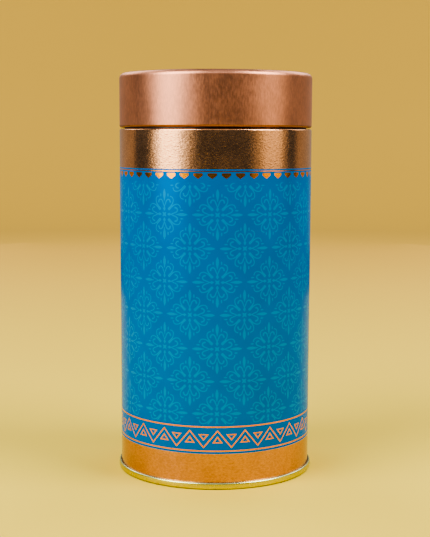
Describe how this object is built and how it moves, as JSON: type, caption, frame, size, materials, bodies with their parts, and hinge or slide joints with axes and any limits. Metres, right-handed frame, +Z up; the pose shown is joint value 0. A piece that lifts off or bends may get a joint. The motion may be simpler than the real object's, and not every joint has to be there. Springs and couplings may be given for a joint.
{
  "type": "cookie tin",
  "caption": "Tall round printed tin with a flush copper slip lid that lifts off a rolled neck, a double-seamed gold bottom and a blue patterned wall.",
  "frame": {"origin": "on the axis, at the level that the tin stands on", "axes": "+Z up the axis towards the lid; -Y is the front, opposite the side seam"},
  "size_m": [0.0852, 0.0852, 0.172],
  "materials": {
    "printed_tinplate": "gloss litho print, blue with copper bands",
    "bare_tinplate": "bright tinplate",
    "gold_lacquered_tinplate": "gold can lacquer, semi-gloss",
    "sealing_compound": "matt",
    "copper_lacquered_tinplate": "satin copper lacquer"
  },
  "bodies": {
    "tin": {"body_wall": "printed_tinplate", "neck_collar": "bare_tinplate", "bottom_end": "gold_lacquered_tinplate", "seam_compound": "sealing_compound"},
    "lid": {"lid_shell": "copper_lacquered_tinplate"}
  },
  "joints": [
    {"name": "lid_lift", "type": "slide", "parent": "tin", "child": "lid", "axis": [0, 0, 1], "range_m": [0, 0.02]}
  ]
}
